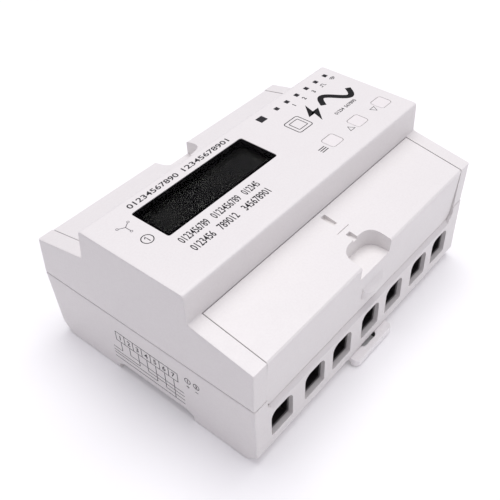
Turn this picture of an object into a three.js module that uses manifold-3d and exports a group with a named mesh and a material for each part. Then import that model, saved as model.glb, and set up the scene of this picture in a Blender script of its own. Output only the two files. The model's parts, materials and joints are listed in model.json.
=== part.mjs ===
// Three-phase DIN-rail energy meter, seven modules wide, lying on its back.
// Millimetres. X runs across the modules, Y from the main terminals to the far end, Z is the front.
import * as THREE from "three";
import { mergeVertices } from "three/addons/utils/BufferGeometryUtils.js";
import Module from "manifold-3d";

const wasm = await Module();
wasm.setup();

// ---------------------------------------------------------------- driving dimensions
const moduleWidth = 18;
const moduleCount = 7;
const width = moduleWidth * moduleCount;
const halfWidth = width / 2;
const wall = 2;
const gap = 0.3;

const seamZ = 28.5;
const bandZ = 61.4;
const bandLowY = 24.7;
const bandHighY = 68.05;
const bandEdgeRadius = 1.5;

const channelLowY = 25.9;
const channelHighY = 61.5;
const channelShoulderZ = 2.8;
const channelZ = 4.4;
const floorZ = 6.4;

const coverHalf = 57;
const ledgeZ = 21.7;
const ledgeRise = 1.2;
const bayFloorZ = 34;
const bayFloorThick = 2;
const lipRootD = 0.7;
const lipReach = 2.5;
const rampHeight = 4.6;
const scoopRadius = 4.8;

// The two ends of the body. d is counted inwards from the end face.
const lowerEnd = { face: 0, dir: 1, edgeZ: 45.8, footZ: 49.95, footD: 24.1, seamD: -0.25, chinD: -1.1, chinZ: 4.5, baseD: 3.3 };
const upperEnd = { face: 92.1, dir: -1, edgeZ: 44.5, footZ: 49.2, footD: 22.45, seamD: -1.4, chinD: 0.9, chinZ: 4.8, baseD: 4.6 };

const wirePortWidth = 10.9;
const wirePortLowZ = 8.4;
const wirePortHighZ = 19.9;
const firstTerminalX = -50;
const widePitch = 17.4;
const narrowPitch = 15.6;
const terminalY = 9.9;
const busbarZ = 16.8;
const busbarThick = 2;
const clampTravel = 7;

const displayLowX = -47.5;
const displayHighX = 4.9;
const displayLowY = 44.8;
const displayHighY = 61.1;

const buttonWidth = 6.6;
const buttonDepth = 6;
const buttonY = 35.4;
const buttonFirstX = 23.6;
const buttonPitch = 15.6;
const buttonTravel = 0.8;

const indicatorY = 62.7;
const indicatorFirstX = 27.3;
const indicatorPitch = 6.03;
const indicatorCount = 6;
const indicatorSize = 1.9;
const infraredX = 18.45;
const infraredWidth = 3.5;
const infraredDepth = 3.2;

const clipLeftX = -10.8;
const clipRightX = 12;
const clipOuterY = -4.4;
const clipTopZ = 3.7;
const clipTravel = 5;

const displayBoardZ = 51;
const meterBoardZ = 30.4;
const boardThick = 1.6;

const terminalX = [];
let nextX = firstTerminalX;
for (let i = 0; i < 7; i += 1) {
  terminalX.push(nextX);
  nextX += i % 2 === 0 ? widePitch : narrowPitch;
}

// ---------------------------------------------------------------- materials
function material(color, roughness, metalness) {
  return new THREE.MeshStandardMaterial({ color, roughness, metalness });
}
const casePlastic = material(0xece8ea, 0.5, 0);
const coverPlastic = material(0xefebed, 0.5, 0);
const buttonPlastic = material(0xeae6e8, 0.45, 0);
const clipPlastic = material(0xf1eeef, 0.45, 0);
const blackPlastic = material(0x141414, 0.4, 0);
const lensPlastic = material(0x1a1c1b, 0.1, 0);
const lcdGlass = material(0x22241f, 0.2, 0);
const backlightPlastic = material(0xd8e4d0, 0.4, 0);
const boardGreen = material(0x1f5a35, 0.5, 0);
const zincSteel = material(0xb9bbbd, 0.35, 1);
const brass = material(0xc9a75a, 0.35, 1);
const copper = material(0xb9744a, 0.35, 1);
const coreBlue = material(0x27406f, 0.5, 0);
const chipBlack = material(0x1b1b1d, 0.5, 0);
const yellowFilm = material(0xd9b233, 0.45, 0);
const blockGreen = material(0x3c8a4c, 0.5, 0);

// ---------------------------------------------------------------- solid helpers
function solid(geometry) {
  const plain = geometry.clone();
  plain.deleteAttribute("normal");
  plain.deleteAttribute("uv");
  const merged = mergeVertices(plain, 1e-4);
  return new wasm.Manifold(
    new wasm.Mesh({
      numProp: 3,
      vertProperties: new Float32Array(merged.attributes.position.array),
      triVerts: new Uint32Array(merged.index.array),
    }),
  );
}

function box(x0, x1, y0, y1, z0, z1) {
  const geometry = new THREE.BoxGeometry(x1 - x0, y1 - y0, z1 - z0);
  geometry.translate((x0 + x1) / 2, (y0 + y1) / 2, (z0 + z1) / 2);
  return solid(geometry);
}

function outline(points) {
  const shape = new THREE.Shape();
  shape.moveTo(points[0][0], points[0][1]);
  for (const [u, v] of points.slice(1)) {
    shape.lineTo(u, v);
  }
  shape.closePath();
  return shape;
}

function roundedOutline(u0, u1, v0, v1, lowRadius, highRadius = lowRadius) {
  const shape = new THREE.Shape();
  shape.moveTo(u0 + lowRadius, v0);
  shape.lineTo(u1 - lowRadius, v0);
  shape.absarc(u1 - lowRadius, v0 + lowRadius, lowRadius, -Math.PI / 2, 0, false);
  shape.lineTo(u1, v1 - highRadius);
  shape.absarc(u1 - highRadius, v1 - highRadius, highRadius, 0, Math.PI / 2, false);
  shape.lineTo(u0 + highRadius, v1);
  shape.absarc(u0 + highRadius, v1 - highRadius, highRadius, Math.PI / 2, Math.PI, false);
  shape.lineTo(u0, v0 + lowRadius);
  shape.absarc(u0 + lowRadius, v0 + lowRadius, lowRadius, Math.PI, 1.5 * Math.PI, false);
  return shape;
}

function extruded(shape, length, bevel, segments) {
  return new THREE.ExtrudeGeometry(shape, {
    depth: length - 2 * bevel,
    curveSegments: segments,
    bevelEnabled: bevel > 0,
    bevelThickness: bevel,
    bevelSize: bevel,
    bevelOffset: -bevel,
    bevelSegments: 2,
  });
}

// A (Y, Z) outline carried along X.
function alongX(shape, x0, x1, bevel = 0, segments = 4) {
  const geometry = extruded(shape, x1 - x0, bevel, segments);
  geometry.translate(0, 0, bevel);
  const turn = new THREE.Matrix4().makeBasis(
    new THREE.Vector3(0, 1, 0),
    new THREE.Vector3(0, 0, 1),
    new THREE.Vector3(1, 0, 0),
  );
  geometry.applyMatrix4(turn);
  geometry.translate(x0, 0, 0);
  return solid(geometry);
}

// An (X, Z) outline carried along Y.
function alongY(shape, y0, y1, bevel = 0, segments = 4) {
  const geometry = extruded(shape, y1 - y0, bevel, segments);
  geometry.translate(0, 0, bevel);
  geometry.rotateX(Math.PI / 2);
  geometry.translate(0, y1, 0);
  return solid(geometry);
}

// An (X, Y) outline carried along Z.
function alongZ(shape, z0, z1, bevel = 0, segments = 4) {
  const geometry = extruded(shape, z1 - z0, bevel, segments);
  geometry.translate(0, 0, z0 + bevel);
  return solid(geometry);
}

function rodZ(x, y, z0, z1, radius, sides = 20) {
  const geometry = new THREE.CylinderGeometry(radius, radius, z1 - z0, sides);
  geometry.rotateX(Math.PI / 2);
  geometry.translate(x, y, (z0 + z1) / 2);
  return solid(geometry);
}

function rodY(x, z, y0, y1, radius, sides = 24) {
  const geometry = new THREE.CylinderGeometry(radius, radius, y1 - y0, sides);
  geometry.translate(x, (y0 + y1) / 2, z);
  return solid(geometry);
}

const meter = new THREE.Group();

function addPiece(name, body, look) {
  const mesh = body.getMesh();
  const geometry = new THREE.BufferGeometry();
  geometry.setAttribute("position", new THREE.BufferAttribute(mesh.vertProperties, 3));
  geometry.setIndex(new THREE.BufferAttribute(mesh.triVerts, 1));
  const flat = geometry.toNonIndexed();
  flat.computeVertexNormals();
  const piece = new THREE.Mesh(flat, look);
  piece.name = name;
  meter.add(piece);
}

function at(end, d) {
  return end.face + end.dir * d;
}

function endBox(end, x0, x1, d0, d1, z0, z1) {
  const a = at(end, d0);
  const b = at(end, d1);
  return box(x0, x1, Math.min(a, b), Math.max(a, b), z0, z1);
}

function endOutline(end, points) {
  return outline(points.map(([d, z]) => [at(end, d), z]));
}

// ---------------------------------------------------------------- base housing
function rearSlotCut(end) {
  // Space for the hanging front plate of a terminal cover, with a sloped ledge below it.
  const slope = endOutline(end, [
    [-4, ledgeZ + ledgeRise],
    [-4, ledgeZ + ledgeRise - 4.8],
    [0.8, ledgeZ + ledgeRise],
    [3, ledgeZ + ledgeRise],
    [3, seamZ + 4],
    [-4, seamZ + 4],
  ]);
  let cut = alongX(slope, -coverHalf, coverHalf);
  for (const side of [-1, 1]) {
    const corner = outline([
      [side * (coverHalf + 1), ledgeZ - 6],
      [side * (coverHalf - 2.2), ledgeZ - 6],
      [side * (coverHalf - 2.2), ledgeZ + ledgeRise],
      [side * coverHalf, ledgeZ + ledgeRise + 2.2],
      [side * (coverHalf + 1), ledgeZ + ledgeRise + 2.2],
    ]);
    const a = at(end, -6);
    const b = at(end, 6);
    cut = cut.subtract(alongY(corner, Math.min(a, b), Math.max(a, b)));
  }
  return cut;
}

function wirePort(x) {
  const half = wirePortWidth / 2;
  const mouth = roundedOutline(x - half, x + half, wirePortLowZ, wirePortHighZ, 0.7, 3);
  const throat = roundedOutline(x - half + 0.6, x + half - 0.6, wirePortLowZ + 0.6, wirePortHighZ - 0.5, 0.7, 3);
  return alongY(mouth, -3, 1.1).add(alongY(throat, 0, 6));
}

function baseHousing() {
  const profile = outline([
    [at(lowerEnd, lowerEnd.baseD), 0],
    [at(upperEnd, upperEnd.baseD), 0],
    [at(upperEnd, upperEnd.chinD), upperEnd.chinZ],
    [at(upperEnd, upperEnd.seamD), seamZ - 0.1],
    [at(lowerEnd, lowerEnd.seamD - 0.1), seamZ - 0.1],
    [at(lowerEnd, lowerEnd.chinD), lowerEnd.chinZ],
  ]);
  let body = alongX(profile, -halfWidth, halfWidth, 0.6);

  const cavity = outline([
    [17, floorZ],
    [at(upperEnd, 3.2), floorZ],
    [at(upperEnd, 3.2), seamZ + 1],
    [17, seamZ + 1],
  ]);
  body = body.subtract(alongX(cavity, -halfWidth + wall, halfWidth - wall));
  for (const x of terminalX) {
    body = body.subtract(wirePort(x));
    body = body.subtract(box(x - 5.7, x + 5.7, 5, 15.5, 7, seamZ + 1));
    body = body.subtract(box(x - 4.2, x + 4.2, 15, 18, 15.8, seamZ + 1));
  }
  body = body.subtract(rearSlotCut(lowerEnd));
  body = body.subtract(rearSlotCut(upperEnd));

  // Rail channel across the back, with fixed hooks along its far side.
  const channel = outline([
    [channelLowY, -1],
    [channelHighY, -1],
    [channelHighY, channelShoulderZ],
    [channelHighY - 2.9, channelZ],
    [channelLowY + 3, channelZ],
    [channelLowY, channelShoulderZ],
  ]);
  body = body.subtract(alongX(channel, -halfWidth - 1, halfWidth + 1));
  for (const side of [-1, 1]) {
    const hook = outline([
      [channelHighY - 1.5, 1.3],
      [channelHighY - 0.3, 0.1],
      [channelHighY + 0.5, 0.1],
      [channelHighY + 0.5, 1.3],
    ]);
    body = body.add(alongX(hook, side * 36 - 9, side * 36 + 9));
  }

  // Clip slideway: wide above, narrow below, so that the clip cannot fall out.
  body = body.subtract(box(clipLeftX - gap, clipRightX + gap, -4, channelLowY + 1, 1.5, clipTopZ + gap));
  body = body.subtract(box(clipLeftX + 1.2, clipRightX - 1.2, -4, channelLowY + 1, -1, 2));
  body = body.add(box(-1.2, 2.4, 7, 9, 1.2, clipTopZ + 1));

  // Pulse-output entries in the far end face.
  for (const x of [38, 44]) {
    body = body.subtract(box(x - 2.2, x + 2.2, at(upperEnd, 4), at(upperEnd, -4), 10, 15));
  }
  // Board posts and screw pillars.
  for (const [x, y] of [[-54, 47], [54, 47], [-54, 64], [54, 64]]) {
    body = body.add(rodZ(x, y, floorZ - 1, meterBoardZ - gap, 2.2, 16));
  }
  for (const [x, y] of screwPlaces) {
    body = body.add(rodZ(x, y, floorZ - 1, 20, 3.2, 20));
    body = body.subtract(rodZ(x, y, -1, 5, 3, 20));
    body = body.subtract(rodZ(x, y, 4, 21, 1.8, 16));
  }
  return body;
}

const screwPlaces = [[-58, 21.5], [58, 21.5], [-58, 80], [58, 80]];

// ---------------------------------------------------------------- top housing
function topProfile() {
  const shape = new THREE.Shape();
  const r = bandEdgeRadius;
  shape.moveTo(at(lowerEnd, lowerEnd.seamD + 0.15), seamZ);
  shape.lineTo(lowerEnd.face, lowerEnd.edgeZ);
  shape.lineTo(at(lowerEnd, lowerEnd.footD - 0.5), lowerEnd.footZ - 0.1);
  shape.quadraticCurveTo(at(lowerEnd, lowerEnd.footD + 0.1), lowerEnd.footZ, at(lowerEnd, lowerEnd.footD + 0.15), lowerEnd.footZ + 0.7);
  shape.lineTo(bandLowY, bandZ - r);
  shape.quadraticCurveTo(bandLowY, bandZ, bandLowY + r, bandZ);
  shape.lineTo(bandHighY - r, bandZ);
  shape.quadraticCurveTo(bandHighY, bandZ, bandHighY + 0.2, bandZ - r);
  shape.lineTo(at(upperEnd, upperEnd.footD + 0.1), upperEnd.footZ + 0.7);
  shape.quadraticCurveTo(at(upperEnd, upperEnd.footD), upperEnd.footZ, at(upperEnd, upperEnd.footD - 0.6), upperEnd.footZ - 0.1);
  shape.lineTo(upperEnd.face, upperEnd.edgeZ);
  shape.lineTo(at(upperEnd, upperEnd.seamD), seamZ);
  shape.closePath();
  return shape;
}

function terminalBay(end) {
  // The open bay under a terminal cover, and the hollow below its floor.
  const half = coverHalf;
  const bay = endBox(end, -half, half, -4, end.footD, bayFloorZ, bandZ + 5);
  const front = endBox(end, -half, half, -4, 3, seamZ - 2, bayFloorZ + 1);
  const under = endBox(end, -halfWidth + wall, halfWidth - wall, wall, end.footD + 4, seamZ - 2, bayFloorZ - bayFloorThick);
  let cut = bay.add(front).add(under);
  for (const side of [-1, 1]) {
    const x0 = side < 0 ? -halfWidth + wall : halfWidth - wall - 2.2;
    cut = cut.add(endBox(end, x0, x0 + 2.2, wall, end.footD - 1, seamZ, end.edgeZ - 2.2));
  }
  return cut;
}

function topHousing() {
  let body = alongX(topProfile(), -halfWidth, halfWidth, 0.6);
  const hollow = outline([
    [bandLowY + wall, seamZ - 2],
    [bandHighY - wall + 1, seamZ - 2],
    [bandHighY - wall, bandZ - 2.2],
    [bandLowY + wall, bandZ - 2.2],
  ]);
  body = body.subtract(alongX(hollow, -halfWidth + wall, halfWidth - wall));
  body = body.subtract(terminalBay(lowerEnd));
  body = body.subtract(terminalBay(upperEnd));
  const window = roundedOutline(displayLowX, displayHighX, displayLowY, displayHighY, 0.9);
  body = body.subtract(alongZ(window, bandZ - 4, bandZ + 1));
  for (const x of buttonX) {
    const hole = roundedOutline(
      x - buttonWidth / 2, x + buttonWidth / 2,
      buttonY - buttonDepth / 2, buttonY + buttonDepth / 2, 1.3,
    );
    body = body.subtract(alongZ(hole, bandZ - 4, bandZ + 1));
  }
  const s = indicatorSize / 2;
  for (let i = 0; i < indicatorCount; i += 1) {
    const x = indicatorFirstX + i * indicatorPitch;
    body = body.subtract(box(x - s, x + s, indicatorY - s, indicatorY + s, bandZ - 4, bandZ + 1));
  }
  body = body.subtract(box(
    infraredX - infraredWidth / 2, infraredX + infraredWidth / 2,
    indicatorY - infraredDepth / 2, indicatorY + infraredDepth / 2, bandZ - 4, bandZ + 1,
  ));
  for (const x of terminalX) {
    body = body.subtract(rodZ(x, terminalY, bayFloorZ - 4, bayFloorZ + 1, 3.3));
  }
  for (const x of [38, 44]) {
    body = body.subtract(rodZ(x, at(upperEnd, 9.5), bayFloorZ - 4, bayFloorZ + 1, 2));
  }
  for (const [x, y] of [[-56, 30], [47, 30], [-56, 63.5], [57, 56]]) {
    body = body.add(rodZ(x, y, displayBoardZ + boardThick + gap, bandZ - 1.5, 1.8, 14));
  }
  for (const [x, y] of screwPlaces) {
    const pillar = rodZ(x, y, 20.3, bayFloorZ - 1, 2.7, 20);
    body = body.add(pillar).subtract(rodZ(x, y, 18, 29, 1.8, 16));
  }
  return body;
}

const buttonX = [0, 1, 2].map((i) => buttonFirstX + i * buttonPitch);

// ---------------------------------------------------------------- terminal covers
function dishOutline(end, half, depth) {
  // A D-shaped finger recess, open to the end face.
  const shape = new THREE.Shape();
  const r = 5.4;
  const a = at(end, -3);
  const b = at(end, depth);
  const c = at(end, depth - r);
  shape.moveTo(-half, a);
  shape.lineTo(-half, c);
  shape.quadraticCurveTo(-half, b, -half + r + 1, b);
  shape.lineTo(half - r - 1, b);
  shape.quadraticCurveTo(half, b, half, c);
  shape.lineTo(half, a);
  shape.closePath();
  return shape;
}

function terminalCover(end) {
  const half = coverHalf - gap;
  const rise = (end.footZ - end.edgeZ) / end.footD;
  const deep = end.footD - gap;
  const topAt = (d) => end.edgeZ + rise * d;
  const lowZ = ledgeZ + ledgeRise + gap;
  const envelope = endOutline(end, [
    [0.8, lowZ],
    [0, end.edgeZ - 0.5],
    [0.5, topAt(0.5)],
    [deep, topAt(deep)],
    [deep, bayFloorZ + 0.4],
    [2.7, bayFloorZ + 0.4],
    [2.7, lowZ],
  ]);
  const block = alongX(envelope, -half, half, 0.25);
  const hollow = endOutline(end, [
    [2.7, lowZ - 2],
    [1.9, end.edgeZ - 2.2],
    [deep - 1.6, topAt(deep) - 2.3],
    [deep - 1.6, lowZ - 2],
  ]);
  let body = block.subtract(alongX(hollow, -half + 1.6, half - 1.6));

  // Finger recess with its own floor and walls.
  const dishZ = end.edgeZ - 5.4;
  const dishWall = alongZ(dishOutline(end, 10.2, 10.4), dishZ - 1.6, bandZ, 0, 8).intersect(block);
  body = body.add(dishWall);
  body = body.subtract(alongZ(dishOutline(end, 8.6, 8.9), dishZ, bandZ, 0, 8));

  // Sealing slots and the thin release line above the recess.
  body = body.subtract(endBox(end, -0.8, 1.4, 17, 22.2, topAt(19) - 1.2, bandZ));
  body = body.subtract(endBox(end, -0.8, 1.4, 7, 12, topAt(10) - 1.3, bandZ));
  body = body.subtract(endBox(end, -0.6, 0.4, 11, 12, topAt(10) - 4, bandZ));
  body = body.subtract(endBox(end, -2.8, 3.6, 13.8, 14.1, topAt(14) - 0.4, bandZ));

  // Thumb lip on the face, half round as seen from the front, with a hollow ramp above it.
  const lipZ = end.edgeZ - 15.2;
  const lip = new THREE.Shape();
  lip.moveTo(-6, at(end, 1.5));
  lip.absellipse(0, at(end, lipRootD), 6, lipReach, Math.PI, end.dir > 0 ? 2 * Math.PI : 0, end.dir < 0);
  lip.lineTo(6, at(end, 1.5));
  lip.closePath();
  const rampTop = lipZ + rampHeight;
  const scoop = new THREE.Shape();
  scoop.absarc(at(end, 0.45 - scoopRadius), rampTop, scoopRadius, 0, 2 * Math.PI, false);
  const ramp = alongZ(lip, lipZ - 1.5, rampTop, 0, 10).subtract(alongX(scoop, -7, 7, 0, 14));
  body = body.add(ramp);

  // Clipped lower corners follow the ledge's ends.
  for (const side of [-1, 1]) {
    const corner = outline([
      [side * (half + 1), lowZ - 1],
      [side * (half - 2.2), lowZ - 1],
      [side * (half - 2.2), lowZ],
      [side * half, lowZ + 2.2],
      [side * (half + 1), lowZ + 2.2],
    ]);
    const a = at(end, -4);
    const b = at(end, 5);
    body = body.subtract(alongY(corner, Math.min(a, b), Math.max(a, b)));
  }
  return body;
}

// ---------------------------------------------------------------- display and controls
function displayLens() {
  const pane = roundedOutline(
    displayLowX + gap / 2, displayHighX - gap / 2,
    displayLowY + gap / 2, displayHighY - gap / 2, 0.8,
  );
  const flange = box(displayLowX - 1.4, displayHighX + 1.4, displayLowY - 1.4, displayHighY + 1.4, 58, 58.9);
  return alongZ(pane, 58, bandZ - 0.1).add(flange);
}

function displayFrame() {
  const outer = box(displayLowX - 3, displayHighX + 3, displayLowY - 2.8, displayHighY + 2.8, 52.9, 57.7);
  const inner = box(displayLowX - 1.8, displayHighX + 1.8, displayLowY - 1.6, displayHighY + 1.6, 52, 58);
  return outer.subtract(inner);
}

function panel(z0, z1, inset) {
  return box(
    displayLowX - 1.5 + inset, displayHighX + 1.5 - inset,
    displayLowY - 1.3 + inset, displayHighY + 1.3 - inset, z0, z1,
  );
}

function buttonCap(x) {
  const w = buttonWidth / 2 - 0.2;
  const d = buttonDepth / 2 - 0.2;
  const cap = alongZ(roundedOutline(x - w, x + w, buttonY - d, buttonY + d, 1.1), 58, bandZ + 0.05, 0.15);
  const flange = box(x - w - 1, x + w + 1, buttonY - d - 1, buttonY + d + 1, 57.9, 58.9);
  const stem = rodZ(x, buttonY, 57.4, 58.4, 1.5, 16);
  return cap.add(flange).add(stem);
}

function keySwitch(x) {
  const low = displayBoardZ + boardThick + gap;
  const body = box(x - 3, x + 3, buttonY - 3, buttonY + 3, low, 55.7);
  return body.add(rodZ(x, buttonY, 55, 56.5, 1.7, 16));
}

function lightGuide() {
  const s = indicatorSize / 2 - 0.15;
  const lastX = indicatorFirstX + (indicatorCount - 1) * indicatorPitch;
  let guide = box(indicatorFirstX - 1.6, lastX + 1.6, indicatorY - 1.5, indicatorY + 1.5, 57.9, 58.9);
  for (let i = 0; i < indicatorCount; i += 1) {
    const x = indicatorFirstX + i * indicatorPitch;
    guide = guide.add(box(x - s, x + s, indicatorY - s, indicatorY + s, 54, bandZ - 0.05));
  }
  return guide;
}

function infraredWindow() {
  const w = infraredWidth / 2 - 0.15;
  const d = infraredDepth / 2 - 0.15;
  const post = box(infraredX - w, infraredX + w, indicatorY - d, indicatorY + d, 58, bandZ - 0.05);
  const flange = box(infraredX - w - 0.8, infraredX + w + 0.8, indicatorY - d - 0.7, indicatorY + d + 0.7, 57.9, 58.9);
  return post.add(flange);
}

// ---------------------------------------------------------------- terminals and current path
function clampCage(x) {
  const frame = roundedOutline(x - 5.2, x + 5.2, 7.6, busbarZ + 4.3, 0.8);
  const hole = roundedOutline(x - 4, x + 4, 9, busbarZ + busbarThick + gap, 0.5);
  const cage = alongY(frame, 5.4, 14.4, 0, 2).subtract(alongY(hole, 4, 16, 0, 2));
  return cage.subtract(rodZ(x, terminalY, busbarZ, busbarZ + 6, 2.8));
}

function clampScrew(x) {
  const headLow = 28.4;
  const headHigh = bayFloorZ - bayFloorThick - gap;
  let screw = rodZ(x, terminalY, headLow, headHigh, 3.9, 20);
  screw = screw.subtract(box(x - 5, x + 5, terminalY - 0.5, terminalY + 0.5, headHigh - 1.5, headHigh + 1));
  screw = screw.subtract(box(x - 0.5, x + 0.5, terminalY - 2.2, terminalY + 2.2, headHigh - 1.5, headHigh + 1));
  return screw.add(rodZ(x, terminalY, busbarZ + 0.3, headLow + 1, 2.4));
}

function busbarLeg(x, endY) {
  const leg = box(x - 3.7, x + 3.7, 5.6, endY, busbarZ, busbarZ + busbarThick);
  return leg.subtract(rodZ(x, terminalY, busbarZ - 1, busbarZ + 4, 2.8));
}

function phaseBusbar(first, second) {
  const yoke = box(first - 3.7, second + 3.7, 37, 43, busbarZ, busbarZ + busbarThick);
  return busbarLeg(first, 40).add(busbarLeg(second, 40)).add(yoke);
}

function neutralBar(x) {
  const riser = box(x - 3.7, x + 3.7, 30, 32, busbarZ, meterBoardZ - gap);
  return busbarLeg(x, 32).add(riser);
}

function currentTransformer(x) {
  const z = busbarZ + busbarThick / 2;
  return rodY(x, z, 25.2, 35.6, 9.2).subtract(rodY(x, z, 22, 38, 4.6, 20));
}

// ---------------------------------------------------------------- rail clip
function railClip() {
  const y1 = channelLowY - 0.4;
  let clip = alongZ(roundedOutline(clipLeftX, clipRightX, clipOuterY, y1, 2, 0.4), 0.5, clipTopZ);
  clip = clip.subtract(box(clipLeftX - 1, clipLeftX + 1.5, -1.5, y1 + 1, 0, 1.8));
  clip = clip.subtract(box(clipRightX - 1.5, clipRightX + 1, -1.5, y1 + 1, 0, 1.8));
  const jaw = outline([
    [y1 - 1, 0.7],
    [y1 + 0.5, 0.7],
    [y1 + 1.9, 1.4],
    [y1 - 1, 1.4],
  ]);
  clip = clip.add(alongX(jaw, clipLeftX + 2, clipRightX - 2));
  const tool = roundedOutline(-3.9, 5.1, -2.2, 2.6, 1.9);
  clip = clip.subtract(alongZ(tool, -1, 5));
  return clip.subtract(box(-3.4, 4.6, 6.4, 20.2, -1, 5));
}

class Coil extends THREE.Curve {
  constructor(turns, radius, length) {
    super();
    this.turns = turns;
    this.radius = radius;
    this.length = length;
  }
  getPoint(t, target = new THREE.Vector3()) {
    const angle = 2 * Math.PI * this.turns * t;
    return target.set(this.radius * Math.cos(angle), this.length * t, this.radius * Math.sin(angle));
  }
}

function clipSpring() {
  const geometry = new THREE.TubeGeometry(new Coil(6, 0.95, 10), 60, 0.25, 5, false);
  const spring = closedTube(geometry, 5);
  spring.translate(0.6, 9.5, 2.45);
  return solid(spring);
}

// Closes a TubeGeometry's two ends with fans.
function closedTube(geometry, sides) {
  const plain = geometry.clone();
  plain.deleteAttribute("normal");
  plain.deleteAttribute("uv");
  const merged = mergeVertices(plain, 1e-5);
  const points = Array.from(merged.attributes.position.array);
  const faces = Array.from(merged.index.array);
  const edges = new Map();
  for (let i = 0; i < faces.length; i += 3) {
    for (let k = 0; k < 3; k += 1) {
      edges.set(`${faces[i + k]}_${faces[i + ((k + 1) % 3)]}`, [faces[i + k], faces[i + ((k + 1) % 3)]]);
    }
  }
  const open = [...edges.values()].filter(([a, b]) => !edges.has(`${b}_${a}`));
  const next = new Map(open.map(([a, b]) => [b, a]));
  const seen = new Set();
  for (const start of next.keys()) {
    if (seen.has(start)) {
      continue;
    }
    const ring = [start];
    seen.add(start);
    for (let v = next.get(start); v !== start; v = next.get(v)) {
      ring.push(v);
      seen.add(v);
    }
    for (let k = 1; k + 1 < sides; k += 1) {
      faces.push(ring[0], ring[k], ring[k + 1]);
    }
  }
  const closed = new THREE.BufferGeometry();
  closed.setAttribute("position", new THREE.BufferAttribute(new Float32Array(points), 3));
  closed.setIndex(faces);
  return closed;
}

// ---------------------------------------------------------------- boards and their parts
function board(x0, x1, y0, y1, z) {
  return alongZ(roundedOutline(x0, x1, y0, y1, 1.5), z, z + boardThick, 0, 2);
}

function housingScrew(x, y) {
  const head = rodZ(x, y, 2.6, 4.7, 2.8);
  const drive = box(x - 1.9, x + 1.9, y - 0.4, y + 0.4, 2, 3.6).add(box(x - 0.4, x + 0.4, y - 1.9, y + 1.9, 2, 3.6));
  return head.subtract(drive).add(rodZ(x, y, 4.4, 27, 1.4, 12));
}

function supplyTransformer() {
  const core = box(-42, -18, 38, 58, meterBoardZ + boardThick + 3, 49);
  const bobbin = box(-39, -21, 36.5, 59.5, meterBoardZ + boardThick + gap, 46.5);
  return core.add(bobbin);
}

function pulseBlock() {
  const low = at(upperEnd, 15);
  const high = at(upperEnd, 4);
  let block = box(34.5, 47.5, low, high, 7.2, 27);
  for (const x of [38, 44]) {
    block = block.subtract(box(x - 2.2, x + 2.2, high - 6, high + 1, 10, 15));
    block = block.subtract(rodZ(x, at(upperEnd, 9.5), 18, 28, 2.3, 16));
  }
  return block;
}

function pulseScrew(x) {
  const y = at(upperEnd, 9.5);
  const slot = box(x - 3, x + 3, y - 0.35, y + 0.35, 24.8, 27);
  return rodZ(x, y, 18.5, 26, 1.9, 16).subtract(slot);
}

// ---------------------------------------------------------------- assembly
addPiece("base_housing", baseHousing(), casePlastic);
addPiece("top_housing", topHousing(), casePlastic);
addPiece("lower_terminal_cover", terminalCover(lowerEnd), coverPlastic);
addPiece("upper_terminal_cover", terminalCover(upperEnd), coverPlastic);

addPiece("display_lens", displayLens(), lensPlastic);
addPiece("display_frame", displayFrame(), blackPlastic);
addPiece("lcd_panel", panel(56.2, 57.7, 0), lcdGlass);
addPiece("backlight", panel(53, 55.9, 0.4), backlightPlastic);
["set_button", "up_button", "down_button"].forEach((name, i) => {
  addPiece(name, buttonCap(buttonX[i]), buttonPlastic);
  addPiece(name.replace("button", "key_switch"), keySwitch(buttonX[i]), chipBlack);
});
addPiece("indicator_light_guide", lightGuide(), blackPlastic);
addPiece("infrared_window", infraredWindow(), blackPlastic);
addPiece("infrared_emitter", box(16.8, 20.1, 61.1, 64.3, 52.9, 56), chipBlack);
addPiece("display_board", board(-59.5, 59.5, 28, 65, displayBoardZ), boardGreen);

terminalX.forEach((x, i) => {
  addPiece(`clamp_cage_${i + 1}`, clampCage(x), zincSteel);
  addPiece(`clamp_screw_${i + 1}`, clampScrew(x), zincSteel);
});
for (let phase = 0; phase < 3; phase += 1) {
  const first = terminalX[2 * phase];
  const second = terminalX[2 * phase + 1];
  addPiece(`phase_${phase + 1}_busbar`, phaseBusbar(first, second), copper);
  addPiece(`current_transformer_${phase + 1}`, currentTransformer(first), coreBlue);
}
addPiece("neutral_bar", neutralBar(terminalX[6]), brass);

addPiece("rail_clip", railClip(), clipPlastic);
addPiece("clip_spring", clipSpring(), zincSteel);
screwPlaces.forEach(([x, y], i) => {
  addPiece(`housing_screw_${i + 1}`, housingScrew(x, y), zincSteel);
});

const partZ = meterBoardZ + boardThick + gap;
addPiece("metering_board", board(-59.5, 59.5, 34, 65.5, meterBoardZ), boardGreen);
addPiece("supply_transformer", supplyTransformer(), yellowFilm);
addPiece("supply_capacitor", rodZ(-8, 47, partZ, 49, 5), chipBlack);
addPiece("film_capacitor", box(2, 20, 38, 46, partZ, 46), yellowFilm);
addPiece("metering_chip", box(4, 16, 50, 60, partZ, partZ + 1.8), chipBlack);
addPiece("radio_module", box(34, 50, 37, 58, partZ, partZ + 3.2), zincSteel);
addPiece("board_connector", box(24, 44, 60, 64, partZ, displayBoardZ - gap), chipBlack);
addPiece("pulse_output_block", pulseBlock(), blockGreen);
addPiece("pulse_screw_1", pulseScrew(38), zincSteel);
addPiece("pulse_screw_2", pulseScrew(44), zincSteel);

// The origin sits at the middle of the footprint, on the surface that the meter lies on.
const rearmostY = at(upperEnd, lipRootD - lipReach);
meter.position.y = -(clipOuterY + rearmostY) / 2;
const group = new THREE.Group();
group.add(meter);
group.updateMatrixWorld(true);

export default group;
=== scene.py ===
"""A three-phase DIN-rail energy meter lying on its back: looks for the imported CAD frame."""

import json
import math

import bmesh
import bpy
from mathutils import Matrix, Vector


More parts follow.
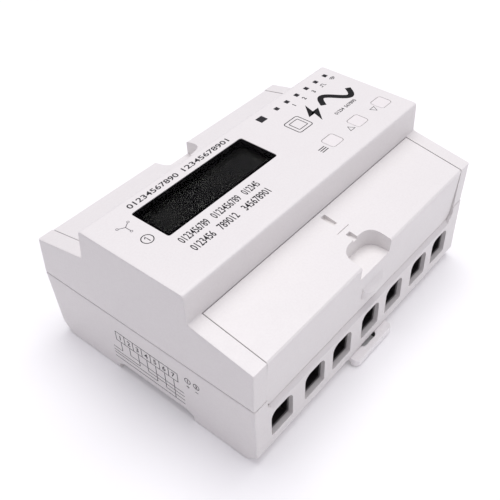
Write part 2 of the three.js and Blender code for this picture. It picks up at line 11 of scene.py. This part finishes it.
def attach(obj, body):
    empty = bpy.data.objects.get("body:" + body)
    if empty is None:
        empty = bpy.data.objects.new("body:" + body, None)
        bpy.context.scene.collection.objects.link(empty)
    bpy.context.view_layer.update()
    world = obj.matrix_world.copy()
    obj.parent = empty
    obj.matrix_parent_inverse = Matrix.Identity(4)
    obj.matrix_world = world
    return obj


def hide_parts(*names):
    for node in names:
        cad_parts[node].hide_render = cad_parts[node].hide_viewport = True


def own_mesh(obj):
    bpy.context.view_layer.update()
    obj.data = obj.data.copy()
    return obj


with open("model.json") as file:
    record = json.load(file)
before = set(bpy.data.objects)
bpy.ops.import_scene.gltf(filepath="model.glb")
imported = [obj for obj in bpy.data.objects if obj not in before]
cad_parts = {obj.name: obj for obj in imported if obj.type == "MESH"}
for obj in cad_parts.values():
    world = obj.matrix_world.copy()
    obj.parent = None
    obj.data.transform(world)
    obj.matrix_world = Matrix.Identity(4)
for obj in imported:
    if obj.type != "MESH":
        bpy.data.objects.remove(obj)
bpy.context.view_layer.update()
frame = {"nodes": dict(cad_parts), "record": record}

MM = 0.001
SHIFT_Y = -44.75  # the main-terminal face in the row frame, in mm
TOP_Z = 61.4
SIDE_X = -63.0
INK_TOP = 0.02  # how far the printed marks stand above the surface, in mm
INK_FOOT = -0.01  # how far they reach into it


# ---------------------------------------------------------------- camera
SENSOR_WIDTH = 36
CAMERA_PLACE = (-0.15359, -0.1212, 0.20425)
CAMERA_RIGHT = (0.626593, -0.779346, -0.001194)
CAMERA_UP = (0.552954, 0.443493, 0.705377)
CAMERA_LENS = 51.717
CAMERA_SHIFT = (-0.02565, 0.05159)


def make_camera():
    camera = bpy.data.objects.new("camera", bpy.data.cameras.new("camera"))
    bpy.context.scene.collection.objects.link(camera)
    right = Vector(CAMERA_RIGHT)
    up = Vector(CAMERA_UP)
    back = right.cross(up)
    turn = Matrix((right, up, back)).transposed().to_4x4()
    camera.matrix_world = Matrix.Translation(Vector(CAMERA_PLACE)) @ turn
    camera.data.sensor_width = SENSOR_WIDTH
    camera.data.lens = CAMERA_LENS
    camera.data.shift_x = CAMERA_SHIFT[0]
    camera.data.shift_y = CAMERA_SHIFT[1]
    camera.data.clip_start = 0.005
    camera.data.clip_end = 20
    bpy.context.scene.camera = camera


make_camera()


# ---------------------------------------------------------------- materials
FADE = 0.5
# Painted shade: the near-black painted on the walls deep inside the terminal ports and the rail-clip hole.
PAINTED_SHADE = (0.012, 0.011, 0.011)
PANE_BORDER = (0.006, 0.006, 0.006)
# Zones in mm, as a low and a high corner.
WINDOW_AREA = ((-46.2, SHIFT_Y + 46.1, 50), (3.6, SHIFT_Y + 59.8, 70))
# Painted shade: inside this zone the walls of the terminal ports are painted near-black for the dark deep in
# the ports.
TERMINAL_SHADE_ZONE = ((-58, SHIFT_Y + 1.15, 7), (58, SHIFT_Y + 19, 20.5))
# Painted shade: inside this zone the walls of the hole in the rail clip are painted near-black for the shade
# under the clip.
CLIP_HOLE_SHADE_ZONE = ((-3.9, SHIFT_Y - 2.2, -1), (5.1, SHIFT_Y + 2.6, 2.9))


class Nodes:
    """A small helper that adds and joins shader nodes."""

    def __init__(self, name):
        self.material = bpy.data.materials.new(name)
        self.material.use_nodes = True
        self.tree = self.material.node_tree
        self.tree.nodes.clear()
        self.out = self.add("ShaderNodeOutputMaterial")
        self.coord = self.add("ShaderNodeTexCoord").outputs["Object"]

    def add(self, kind, **settings):
        node = self.tree.nodes.new(kind)
        for key, value in settings.items():
            setattr(node, key, value)
        return node

    def join(self, source, target):
        self.tree.links.new(source, target)

    def noise(self, scale, detail=2.0, rough=0.5, stretch=None):
        node = self.add("ShaderNodeTexNoise")
        node.inputs["Scale"].default_value = scale
        node.inputs["Detail"].default_value = detail
        node.inputs["Roughness"].default_value = rough
        source = self.coord
        if stretch:
            mapping = self.add("ShaderNodeMapping")
            mapping.inputs["Scale"].default_value = stretch
            self.join(source, mapping.inputs["Vector"])
            source = mapping.outputs["Vector"]
        self.join(source, node.inputs["Vector"])
        return node.outputs["Fac"]

    def span(self, value, low, high, out_low, out_high):
        node = self.add("ShaderNodeMapRange")
        node.inputs["From Min"].default_value = low
        node.inputs["From Max"].default_value = high
        node.inputs["To Min"].default_value = out_low
        node.inputs["To Max"].default_value = out_high
        self.join(value, node.inputs["Value"])
        return node.outputs["Result"]

    def math(self, operation, a, b):
        node = self.add("ShaderNodeMath", operation=operation)
        for slot, value in enumerate((a, b)):
            if isinstance(value, (int, float)):
                node.inputs[slot].default_value = value
            else:
                self.join(value, node.inputs[slot])
        return node.outputs["Value"]

    def mix(self, factor, a, b):
        node = self.add("ShaderNodeMix", data_type="RGBA")
        if isinstance(factor, (int, float)):
            node.inputs[0].default_value = factor
        else:
            self.join(factor, node.inputs[0])
        for slot, value in ((6, a), (7, b)):
            if isinstance(value, (tuple, list)):
                node.inputs[slot].default_value = (*value[:3], 1)
            else:
                self.join(value, node.inputs[slot])
        return node.outputs[2]

    def inside(self, low, high):
        """1 between two corners in mm, falling to 0 over FADE millimetres outside them."""
        apart = self.add("ShaderNodeSeparateXYZ")
        self.join(self.coord, apart.inputs[0])
        mask = None
        for axis in range(3):
            value = apart.outputs[axis]
            for limit, step in ((low[axis], -FADE), (high[axis], FADE)):
                part = self.span(value, (limit + step) * MM, limit * MM, 0.0, 1.0)
                mask = part if mask is None else self.math("MULTIPLY", mask, part)
        return mask

    def edges(self, radius):
        """Near 1 on edges and corners, 0 on flat faces."""
        round_normal = self.add("ShaderNodeBevel", samples=4)
        round_normal.inputs["Radius"].default_value = radius
        plain = self.add("ShaderNodeNewGeometry").outputs["Normal"]
        dot = self.add("ShaderNodeVectorMath", operation="DOT_PRODUCT")
        self.join(round_normal.outputs["Normal"], dot.inputs[0])
        self.join(plain, dot.inputs[1])
        return self.span(dot.outputs["Value"], 0.995, 0.9, 0.0, 1.0)

    def bump(self, height, strength, distance, under=None):
        node = self.add("ShaderNodeBump")
        node.inputs["Strength"].default_value = strength
        node.inputs["Distance"].default_value = distance
        self.join(height, node.inputs["Height"])
        if under is not None:
            self.join(under, node.inputs["Normal"])
        return node.outputs["Normal"]

    def surface(self, color, roughness, metallic=0.0, normal=None, **fixed):
        shader = self.add("ShaderNodeBsdfPrincipled")
        self.join(color, shader.inputs["Base Color"])
        if isinstance(roughness, (int, float)):
            shader.inputs["Roughness"].default_value = roughness
        else:
            self.join(roughness, shader.inputs["Roughness"])
        shader.inputs["Metallic"].default_value = metallic
        if normal is not None:
            self.join(normal, shader.inputs["Normal"])
        for key, value in fixed.items():
            shader.inputs[key.replace("_", " ")].default_value = value
        self.join(shader.outputs["BSDF"], self.out.inputs["Surface"])
        return self.material


def shade(color, factor):
    return tuple(min(1.0, c * factor) for c in color)


def plastic(name, color, roughness=0.45, grain=0.1, drift=0.02, wear=0.35, shade_zone=None, **fixed):
    """Moulded plastic: soft tone drift, fine grain, and slightly polished, lighter edges.

    Inside the shade zone, given by two corners, the walls are painted near-black: painted shade for the dark
    deep inside a port or hole.
    """
    n = Nodes(name)
    broad = n.noise(28, 3)
    fine = n.noise(1500, 3)
    grains = n.noise(7000, 2, 0.6)
    tone = n.mix(broad, shade(color, 1 - drift), shade(color, 1 + drift))
    speck = n.mix(n.span(fine, 0.35, 0.65, 0, 1), (0.975, 0.97, 0.972), (1, 1, 1))
    tinted = n.add("ShaderNodeMix", data_type="RGBA", blend_type="MULTIPLY")
    tinted.inputs[0].default_value = 1
    n.join(tone, tinted.inputs[6])
    n.join(speck, tinted.inputs[7])
    edge = n.math("MULTIPLY", n.edges(0.0004), n.span(n.noise(900, 3), 0.35, 0.7, 0, wear))
    worn_and_shaded = n.mix(edge, tinted.outputs[2], shade(color, 1.09))
    # Painted shade: the walls inside the shade zone are painted near-black.
    if shade_zone:
        worn_and_shaded = n.mix(n.inside(*shade_zone), worn_and_shaded, PAINTED_SHADE)
    matt = n.span(n.noise(260, 4), 0.3, 0.7, roughness - 0.05, roughness + 0.06)
    polished = n.math("SUBTRACT", matt, n.math("MULTIPLY", edge, 0.2))
    waves = n.bump(n.noise(55, 2), 0.25, 0.00012)
    normal = n.bump(grains, grain, 0.00004, waves)
    return n.surface(worn_and_shaded, polished, 0.0, normal, **fixed)


def metal(name, color, roughness=0.32, stretch=(1, 1, 12), tarnish=0.2):
    """Plated or drawn metal: fine drawn lines, cloudy tarnish and brighter edges."""
    n = Nodes(name)
    lines = n.noise(900, 3, 0.6, stretch)
    clouds = n.noise(180, 4, 0.6)
    dull = n.mix(n.span(clouds, 0.4, 0.75, 0, tarnish), color, shade(color, 0.55))
    drawn = n.mix(n.span(lines, 0.3, 0.7, 0, 0.25), dull, shade(color, 0.8))
    edge = n.math("MULTIPLY", n.edges(0.0003), 0.5)
    bright = n.mix(edge, drawn, shade(color, 1.25))
    rough = n.span(clouds, 0.3, 0.7, roughness - 0.06, roughness + 0.12)
    normal = n.bump(lines, 0.18, 0.00003)
    return n.surface(bright, rough, 1.0, normal)


def circuit_board(name):
    """Solder resist over faint copper tracks."""
    n = Nodes(name)
    brick = n.add("ShaderNodeTexBrick", offset=0.35, squash=1.6)
    brick.inputs["Scale"].default_value = 260
    brick.inputs["Mortar Size"].default_value = 0.06
    brick.inputs["Color1"].default_value = (0.02, 0.13, 0.05, 1)
    brick.inputs["Color2"].default_value = (0.025, 0.16, 0.06, 1)
    brick.inputs["Mortar"].default_value = (0.04, 0.23, 0.09, 1)
    n.join(n.coord, brick.inputs["Vector"])
    mottled = n.mix(n.span(n.noise(400, 3), 0.4, 0.7, 0, 0.3), brick.outputs["Color"], (0.02, 0.1, 0.04))
    rough = n.span(n.noise(150, 3), 0.3, 0.7, 0.3, 0.45)
    return n.surface(mottled, rough, 0.0, n.bump(brick.outputs["Fac"], 0.2, 0.00003))


def wound_tape(name, color, scale):
    """Layers of shiny tape or lacquered wire wound round a part."""
    n = Nodes(name)
    wave = n.add("ShaderNodeTexWave", bands_direction="Z")
    wave.inputs["Scale"].default_value = scale
    wave.inputs["Distortion"].default_value = 0.6
    n.join(n.coord, wave.inputs["Vector"])
    tone = n.mix(n.span(n.noise(120, 3), 0.3, 0.7, 0, 1), shade(color, 0.85), shade(color, 1.08))
    bands = n.mix(n.math("MULTIPLY", wave.outputs["Fac"], 0.3), tone, shade(color, 0.6))
    rough = n.span(n.noise(300, 2), 0.3, 0.7, 0.25, 0.45)
    return n.surface(bands, rough, 0.0, n.bump(wave.outputs["Fac"], 0.2, 0.00008))


def display_glass(name):
    """The switched-off display: near-black green-grey glass with a faint polariser sheen."""
    n = Nodes(name)
    tone = n.mix(n.span(n.noise(40, 2), 0.3, 0.7, 0, 1), (0.0085, 0.009, 0.0078), (0.011, 0.0115, 0.0098))
    specks = n.mix(n.span(n.noise(1800, 2), 0.45, 0.75, 0, 0.2), tone, (0.014, 0.015, 0.013))
    rough = n.span(n.noise(600, 3), 0.3, 0.7, 0.32, 0.42)
    normal = n.bump(n.noise(2500, 2), 0.02, 0.00001)
    return n.surface(specks, rough, 0.0, normal, Specular_IOR_Level=0.05)


def clear_pane(name):
    """A clear moulded pane with a little haze, very fine scratches and a black border."""
    n = Nodes(name)
    clear = n.mix(n.noise(60, 2), (0.93, 0.94, 0.93), (0.97, 0.975, 0.97))
    tint = n.mix(n.inside(*WINDOW_AREA), PANE_BORDER, clear)
    scratches = n.noise(1400, 3, 0.7, (1, 9, 1))
    rough = n.span(scratches, 0.3, 0.8, 0.03, 0.1)
    normal = n.bump(scratches, 0.04, 0.00001)
    return n.surface(tint, rough, 0.0, normal, Transmission_Weight=1.0, IOR=1.12)


def ink(name, color):
    """Pad-printed ink: uneven density and a matt, slightly raised film."""
    n = Nodes(name)
    density = n.span(n.noise(2600, 3, 0.6), 0.35, 0.7, 0, 1)
    tone = n.mix(density, shade(color, 0.8), tuple(c * 1.2 + 0.006 for c in color))
    rough = n.span(n.noise(1200, 2), 0.3, 0.7, 0.5, 0.68)
    return n.surface(tone, rough, 0.0, n.bump(n.noise(5000, 2), 0.1, 0.00002), Specular_IOR_Level=0.15)


FLOOR_GLOW = 0.06


def paper(name):
    """The pale studio floor, faintly lit from below so that it stays white."""
    n = Nodes(name)
    tone = n.mix(n.noise(6, 2), (0.93, 0.93, 0.93), (0.95, 0.95, 0.95))
    rough = n.span(n.noise(90, 3), 0.3, 0.7, 0.75, 0.9)
    normal = n.bump(n.noise(800, 2), 0.03, 0.0001)
    glow = {"Emission_Color": (1, 1, 1, 1), "Emission_Strength": FLOOR_GLOW}
    return n.surface(tone, rough, 0.0, normal, **glow)


CASE_TONE = (0.80, 0.78, 0.762)
CASE = plastic("case_plastic", CASE_TONE, 0.42)
# Painted shade: the walls deep inside the terminal ports are painted near-black.
BASE = plastic("base_plastic", CASE_TONE, 0.42, shade_zone=TERMINAL_SHADE_ZONE)
COVER = plastic("cover_plastic", (0.81, 0.79, 0.772), 0.42)
BUTTON = plastic("button_plastic", (0.83, 0.80, 0.785), 0.4, wear=0.2)
# Painted light and shade: the clip plastic is lighter than the case plastic to stand in for light on the
# clip tab, and the walls of its hole are painted near-black for the shade under the clip.
CLIP = plastic("clip_plastic", (0.95, 0.93, 0.92), 0.3, grain=0.05, shade_zone=CLIP_HOLE_SHADE_ZONE)
BLACK = plastic("black_plastic", (0.011, 0.011, 0.0112), 0.6, grain=0.15, drift=0.1, Specular_IOR_Level=0.12)
WINDOW = plastic("dark_window", (0.008, 0.008, 0.009), 0.25, grain=0.03, drift=0.1)
LENS = clear_pane("display_lens")
GLASS = display_glass("lcd_glass")
DIFFUSER = plastic("backlight_plastic", (0.72, 0.78, 0.68), 0.5, grain=0.06)
BOARD = circuit_board("circuit_board")
STEEL = metal("terminal_steel", (0.62, 0.62, 0.63), 0.3)
SCREW = metal("screw_steel", (0.55, 0.55, 0.57), 0.34, (1, 1, 6))
SPRING = metal("spring_steel", (0.56, 0.56, 0.58), 0.25, (6, 1, 1), 0.1)
BRASS = metal("brass", (0.72, 0.53, 0.22), 0.33)
COPPER = metal("copper", (0.72, 0.36, 0.2), 0.35, (1, 8, 1), 0.35)
CORE = plastic("transformer_blue", (0.03, 0.07, 0.2), 0.35, grain=0.12, drift=0.1)
CHIP = plastic("component_black", (0.016, 0.016, 0.018), 0.5, grain=0.2, drift=0.15)
TAPE = wound_tape("yellow_tape", (0.72, 0.52, 0.09), 420)
CAN = metal("tinned_shield", (0.66, 0.66, 0.66), 0.28, (10, 1, 1), 0.1)
GREEN = plastic("terminal_green", (0.06, 0.3, 0.12), 0.4, grain=0.08, drift=0.06)
INK_BLACK = ink("ink_black", (0.007, 0.007, 0.0075))
INK_GREY = ink("ink_grey", (0.03, 0.028, 0.031))
INK_PALE = ink("ink_pale", (0.2, 0.19, 0.2))

BY_SLOT = {
    "case_plastic": CASE,
    "cover_plastic": COVER,
    "button_plastic": BUTTON,
    "clip_plastic": CLIP,
    "black_plastic": BLACK,
    "dark_window": WINDOW,
    "display_lens": LENS,
    "lcd_glass": GLASS,
    "backlight_plastic": DIFFUSER,
    "circuit_board": BOARD,
    "terminal_steel": STEEL,
    "screw_steel": SCREW,
    "spring_steel": SPRING,
    "brass": BRASS,
    "copper": COPPER,
    "transformer_blue": CORE,
    "component_black": CHIP,
    "yellow_tape": TAPE,
    "tinned_shield": CAN,
    "terminal_green": GREEN,
}


# ---------------------------------------------------------------- CAD nodes
# How wide the rounding of each node's edges is, in mm.
PLAIN_EDGE = 0.15
STRONG_EDGE = 0.2
EDGE_WIDTH = {
    "base_housing": 0.16,
    "top_housing": 0.14,
    "lower_terminal_cover": 0.3,
    "upper_terminal_cover": 0.3,
    "rail_clip": 0.35,
    "set_button": 0.12,
    "up_button": 0.12,
    "down_button": 0.12,
    "display_lens": 0.06,
    "display_frame": 0.1,
    "lcd_panel": 0.1,
    "indicator_light_guide": 0.08,
    "infrared_window": 0.08,
    "pulse_output_block": STRONG_EDGE,
    "neutral_bar": STRONG_EDGE,
    "metering_chip": 0.12,
    "supply_transformer": 0.3,
    "supply_capacitor": 0.5,
    "film_capacitor": 0.6,
    "display_board": 0.08,
    "metering_board": 0.08,
}


def soften(node, width, segments=3):
    """Rounds a CAD node's edges and smooths its shading, without touching its own mesh."""
    weld = node.modifiers.new("weld", "WELD")
    weld.merge_threshold = 2e-6
    flat = node.modifiers.new("flatten", "DECIMATE")
    flat.decimate_type = "DISSOLVE"
    flat.angle_limit = math.radians(0.6)
    bevel = node.modifiers.new("round", "BEVEL")
    bevel.width = width * MM
    bevel.segments = segments
    bevel.limit_method = "ANGLE"
    bevel.angle_limit = math.radians(28)
    bevel.use_clamp_overlap = True
    bevel.harden_normals = False
    normals = node.modifiers.new("normals", "WEIGHTED_NORMAL")
    normals.weight = 60
    for face in node.data.polygons:
        face.use_smooth = True


def edge_width(name):
    if name.startswith(("phase_", "clamp_cage")):
        return STRONG_EDGE
    return EDGE_WIDTH.get(name, PLAIN_EDGE)


SLOT_OF = {row["node"]: row["material_slot"] for row in frame["record"]["subparts"]}
for name, node in frame["nodes"].items():
    node.data.materials.clear()
    node.data.materials.append(BASE if name == "base_housing" else BY_SLOT[SLOT_OF[name]])
    if name != "clip_spring":
        width = edge_width(name)
        soften(node, width, 3 if width >= 0.3 else 2)


# ---------------------------------------------------------------- clip spring
def make_clip_spring():
    """A finely wound coil spring for the rail clip, built at rest and fixed to the housing; here it does not
    close up when the clip is pulled.
    """
    turns, coil, wire, length = 6, 0.95, 0.24, 10.0
    start = Vector((0.6, 9.5 + SHIFT_Y, 2.45))
    per_turn, sides = 20, 10
    count = turns * per_turn
    mesh = bmesh.new()
    rings = []
    for i in range(count + 1):
        angle = 2 * math.pi * i / per_turn
        out = Vector((math.cos(angle), 0, math.sin(angle)))
        middle = start + out * coil + Vector((0, length * i / count, 0))
        up = Vector((0, 1, 0))
        ring = []
        for k in range(sides):
            turn = 2 * math.pi * k / sides
            ring.append(mesh.verts.new((middle + (out * math.cos(turn) + up * math.sin(turn)) * wire) * MM))
        rings.append(ring)
    for low, high in zip(rings, rings[1:]):
        for k in range(sides):
            j = (k + 1) % sides
            mesh.faces.new((low[k], low[j], high[j], high[k]))
    mesh.faces.new(rings[0])
    mesh.faces.new(list(reversed(rings[-1])))
    bmesh.ops.recalc_face_normals(mesh, faces=mesh.faces)
    for face in mesh.faces:
        face.smooth = len(face.verts) == 4
    data = bpy.data.meshes.new("clip_coil_spring")
    mesh.to_mesh(data)
    mesh.free()
    data.materials.append(SPRING)
    spring = bpy.data.objects.new("clip_coil_spring", data)
    bpy.context.scene.collection.objects.link(spring)
    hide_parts("clip_spring")
    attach(spring, "housing")
    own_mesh(spring)


make_clip_spring()


# ---------------------------------------------------------------- printed marks
def top_point(u, v, h):
    return Vector((u * MM, (v + SHIFT_Y) * MM, (TOP_Z + h) * MM))


def side_point(u, v, h):
    """The left side, read from outside: u runs from the main-terminal end, v is height."""
    return Vector(((SIDE_X - h) * MM, (u + SHIFT_Y) * MM, v * MM))


class Print:
    """Collects flat printed shapes on one face into one thin solid mesh."""

    def __init__(self, name, place, material):
        self.name, self.place, self.material = name, place, material
        self.mesh = bmesh.new()

    def polygon(self, points):
        low = [self.mesh.verts.new(self.place(u, v, INK_FOOT)) for u, v in points]
        high = [self.mesh.verts.new(self.place(u, v, INK_TOP)) for u, v in points]
        count = len(points)
        self.mesh.faces.new(high)
        self.mesh.faces.new(list(reversed(low)))
        for i in range(count):
            j = (i + 1) % count
            self.mesh.faces.new((low[i], low[j], high[j], high[i]))

    def bar(self, u0, v0, u1, v1):
        self.polygon([(u0, v0), (u1, v0), (u1, v1), (u0, v1)])

    def ribbon(self, points, width, closed=False):
        """A line of even width through the points."""
        count = len(points)
        half = width / 2
        left, right = [], []
        for i, (u, v) in enumerate(points):
            before = points[(i - 1) % count] if closed or i > 0 else None
            after = points[(i + 1) % count] if closed or i < count - 1 else None
            normals = []
            for a, b in ((before, (u, v)), ((u, v), after)):
                if a is None or b is None:
                    continue
                du, dv = b[0] - a[0], b[1] - a[1]
                length = math.hypot(du, dv)
                normals.append((-dv / length, du / length))
            nu = sum(n[0] for n in normals) / len(normals)
            nv = sum(n[1] for n in normals) / len(normals)
            scale = half / max(0.35, nu * nu + nv * nv)
            left.append((u + nu * scale, v + nv * scale))
            right.append((u - nu * scale, v - nv * scale))
        spans = count if closed else count - 1
        corners = []
        for l, r in zip(left, right):
            section = ((l, INK_TOP), (r, INK_TOP), (r, INK_FOOT), (l, INK_FOOT))
            corners.append([self.mesh.verts.new(self.place(*point, h)) for point, h in section])
        for k in range(spans):
            a, b = corners[k], corners[(k + 1) % count]
            for side in range(4):
                other = (side + 1) % 4
                self.mesh.faces.new((a[side], a[other], b[other], b[side]))
        if not closed:
            self.mesh.faces.new(corners[0])
            self.mesh.faces.new(list(reversed(corners[-1])))

    def ring(self, u, v, radius, width, sides=40):
        points = [
            (u + radius * math.cos(2 * math.pi * i / sides), v + radius * math.sin(2 * math.pi * i / sides))
            for i in range(sides)
        ]
        self.ribbon(points, width, True)

    def frame(self, u0, v0, u1, v1, width, radius):
        points = []
        for cu, cv, start in (
            (u1 - radius, v1 - radius, 0),
            (u0 + radius, v1 - radius, 90),
            (u0 + radius, v0 + radius, 180),
            (u1 - radius, v0 + radius, 270),
        ):
            for step in range(6):
                angle = math.radians(start + step * 18)
                points.append((cu + radius * math.cos(angle), cv + radius * math.sin(angle)))
        self.ribbon(points, width, True)

    def digit(self, text, u, v, height, flip=1, length=None, bold=0.02):
        """Generic figures from the plain built-in font, centred on (u, v)."""
        curve = bpy.data.curves.new("digit", "FONT")
        curve.body = text
        curve.size = height * 1.38
        curve.offset = bold * height
        curve.align_x = "CENTER"
        curve.align_y = "CENTER"
        curve.resolution_u = 4
        holder = bpy.data.objects.new("digit", curve)
        flat = bpy.data.meshes.new_from_object(holder)
        bpy.data.objects.remove(holder)
        bpy.data.curves.remove(curve)
        outline = bmesh.new()
        outline.from_mesh(flat)
        bpy.data.meshes.remove(flat)
        bmesh.ops.remove_doubles(outline, verts=outline.verts, dist=1e-5)
        xs = [p.co.x for p in outline.verts]
        ys = [p.co.y for p in outline.verts]
        middle = ((min(xs) + max(xs)) / 2, (min(ys) + max(ys)) / 2)
        stretch = flip * (length / (max(xs) - min(xs)) if length else 1)
        made = bmesh.ops.extrude_face_region(outline, geom=outline.faces[:])
        lifted = {p for p in made["geom"] if isinstance(p, bmesh.types.BMVert)}
        copies = {}
        for p in outline.verts:
            a, b = (p.co.x - middle[0]) * stretch, p.co.y - middle[1]
            copies[p] = self.mesh.verts.new(self.place(u + a, v + b, INK_TOP if p in lifted else INK_FOOT))
        for face in outline.faces:
            self.mesh.faces.new([copies[p] for p in face.verts])
        outline.free()

    def finish(self):
        bmesh.ops.recalc_face_normals(self.mesh, faces=self.mesh.faces)
        data = bpy.data.meshes.new(self.name)
        self.mesh.to_mesh(data)
        self.mesh.free()
        data.materials.append(self.material)
        made = bpy.data.objects.new(self.name, data)
        bpy.context.scene.collection.objects.link(made)
        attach(made, "housing")


LINE = 0.28  # the usual width of a printed line, in mm


def running_figures(marks, u0, v, height, advance, words):
    """Rows of running figures in place of lettering: (length, space after) for each group."""
    count = 0
    for length, space in words:
        text = "".join(str((count + i) % 10) for i in range(max(1, round(length / advance))))
        marks.digit(text, u0 + length / 2, v, height, length=length - 0.35)
        count += len(text)
        u0 += length + space


def top_marks():
    fine = Print("printed_symbols", top_point, INK_GREY)
    # Circled figure left of the display.
    fine.ring(-52.3, 49, 1.95, 0.32)
    fine.ribbon([(-52.9, 49.5), (-52.2, 50.2), (-52.2, 47.8)], 0.36)
    # Double square of a doubly insulated appliance.
    fine.frame(20.3, 46.7, 28, 54.3, 0.34, 1.0)
    fine.frame(21.8, 48.1, 26.6, 52.9, 0.3, 0.3)
    # Figures under the phase lamps, a pulse wave and a radio fan.
    for number, u in enumerate((33.3, 39.4, 45.5), 1):
        fine.digit(str(number), u, 59.2, 1.8, bold=0.04)
    pulse = [(49.8, 58.5), (50.6, 58.5), (50.6, 59.9), (51.9, 59.9), (51.9, 58.5), (52.7, 58.5)]
    fine.ribbon(pulse, LINE)
    for radius in (0.75, 1.35, 1.95):
        angles = [math.radians(t) for t in range(45, 136, 9)]
        arc = [(57.9 + radius * math.cos(a), 58.1 + radius * math.sin(a)) for a in angles]
        fine.ribbon(arc, 0.34)
    # Menu, up and down marks beside the buttons.
    for v in (33.8, 34.7, 35.6):
        fine.bar(15.6, v - 0.18, 19, v + 0.18)
    fine.ribbon([(32.4, 33.6), (35, 33.6), (33.7, 35.9)], LINE, True)
    fine.ribbon([(48.1, 35.9), (50.7, 35.9), (49.4, 33.6)], LINE, True)
    fine.finish()

    star = Print("printed_star_connection", top_point, INK_PALE)
    middle_u, middle_v, arm, eye = -52.8, 57.8, 2.2, 0.4
    for angle in (270, 30, 150):
        du, dv = math.cos(math.radians(angle)), math.sin(math.radians(angle))
        star.ribbon([(middle_u, middle_v), (middle_u + arm * du, middle_v + arm * dv)], LINE)
        star.ring(middle_u + (arm + eye) * du, middle_v + (arm + eye) * dv, eye, 0.2, 16)
    star.finish()

    lines = Print("printed_figures", top_point, INK_GREY)
    running_figures(lines, -46.2, 64, 2.25, 2.05, [(22.6, 2.2), (22.8, 0)])
    running_figures(lines, -47.2, 40.7, 3.0, 1.28, [(12.6, 1.8), (12.8, 1.8), (7.4, 0)])
    running_figures(lines, -47.2, 35.7, 3.0, 1.35, [(9.6, 2.2), (8.6, 2.8), (12.6, 0)])
    running_figures(lines, 37.6, 43.9, 1.5, 1.1, [(5.4, 0.8), (6.8, 0)])
    lines.finish()

    bold = Print("printed_power_mark", top_point, INK_BLACK)
    # A bolt and one period of alternating current.
    bold.polygon([(35.6, 56), (30.2, 50.1), (33.7, 50.1)])
    bold.polygon([(31.8, 45.4), (37.4, 51.4), (33.9, 51.4)])
    bold.polygon([(33.7, 50.1), (33.9, 51.4), (36.6, 51.4), (31, 50.1)])
    wave = [(40.0 + t * 0.78, 50.7 + 3.9 * math.sin(t * math.pi / 10)) for t in range(21)]
    bold.ribbon(wave, 2.3)
    bold.finish()


def side_marks():
    wires = Print("printed_wiring_diagram", side_point, INK_GREY)
    # Seven numbered terminal fields, with a wire from each to the left or right end.
    pitch, low, high, first = 4.07, 17, 21.3, 60
    last = first - 7 * pitch
    wires.ribbon([(first, low), (last, low), (last, high), (first, high)], LINE, True)
    for i in range(1, 7):
        u = first - i * pitch
        wires.ribbon([(u, low), (u, high)], LINE)
    left, right = 62.5, 29.3
    for i, depth in enumerate([12.3, 12.9, 10.5, 11, 9, 9, 6.9]):
        u = first - (i + 0.5) * pitch
        wires.ribbon([(u, low), (u, depth)], LINE)
        wires.digit(str(i + 1), u, 19.15, 2.3, flip=-1)
        if i == 6:
            wires.ribbon([(left, depth), (right, depth)], LINE)
        elif i % 2 == 0:
            wires.ribbon([(left, depth), (u, depth)], LINE)
        else:
            wires.ribbon([(u, depth), (right, depth)], LINE)
    # The two pulse terminals, with plus and minus below them.
    plus_u, minus_u, ring_v, sign_v, arm = 27, 23.3, 21.3, 18.3, 0.7
    for text, u in (("1", plus_u), ("2", minus_u)):
        wires.ring(u, ring_v, 1.2, LINE)
        wires.digit(text, u, ring_v, 1.4, flip=-1, bold=0.05)
        wires.ribbon([(u + arm, sign_v), (u - arm, sign_v)], LINE)
    wires.ribbon([(plus_u, sign_v - arm), (plus_u, sign_v + arm)], LINE)
    wires.finish()


top_marks()
side_marks()


# ---------------------------------------------------------------- stage and light
FLOOR_HALF = 3.0
WORLD_TONE = (0.97, 0.915, 1.05)
WORLD_STRENGTH = 0.42


def make_stage():
    mesh = bpy.data.meshes.new("floor")
    h = FLOOR_HALF
    corners = [(-h, -h, 0), (h, -h, 0), (h, h, 0), (-h, h, 0)]
    mesh.from_pydata(corners, [], [(0, 1, 2, 3)])
    mesh.materials.append(paper("floor_paper"))
    floor = bpy.data.objects.new("floor", mesh)
    bpy.context.scene.collection.objects.link(floor)


def soft_light(name, place, size, power):
    """A large square lamp aimed at the origin."""
    data = bpy.data.lights.new(name, "AREA")
    data.shape = "SQUARE"
    data.size = size
    data.energy = power
    lamp = bpy.data.objects.new(name, data)
    lamp.location = place
    lamp.rotation_mode = "QUATERNION"
    lamp.rotation_quaternion = (-Vector(place)).to_track_quat("-Z", "Y")
    bpy.context.scene.collection.objects.link(lamp)


def make_world(color, strength):
    world = bpy.data.worlds.new("studio")
    bpy.context.scene.world = world
    world.use_nodes = True
    background = world.node_tree.nodes["Background"]
    background.inputs["Color"].default_value = (*color, 1)
    background.inputs["Strength"].default_value = strength


make_stage()
make_world(WORLD_TONE, WORLD_STRENGTH)
soft_light("overhead", (0.17, 0.13, 1.25), 1.0, 12.2)
soft_light("front", (0.5, -1.15, 0.6), 1.2, 2.1)
bpy.context.scene.view_settings.view_transform = "Standard"
bpy.context.scene.view_settings.look = "None"
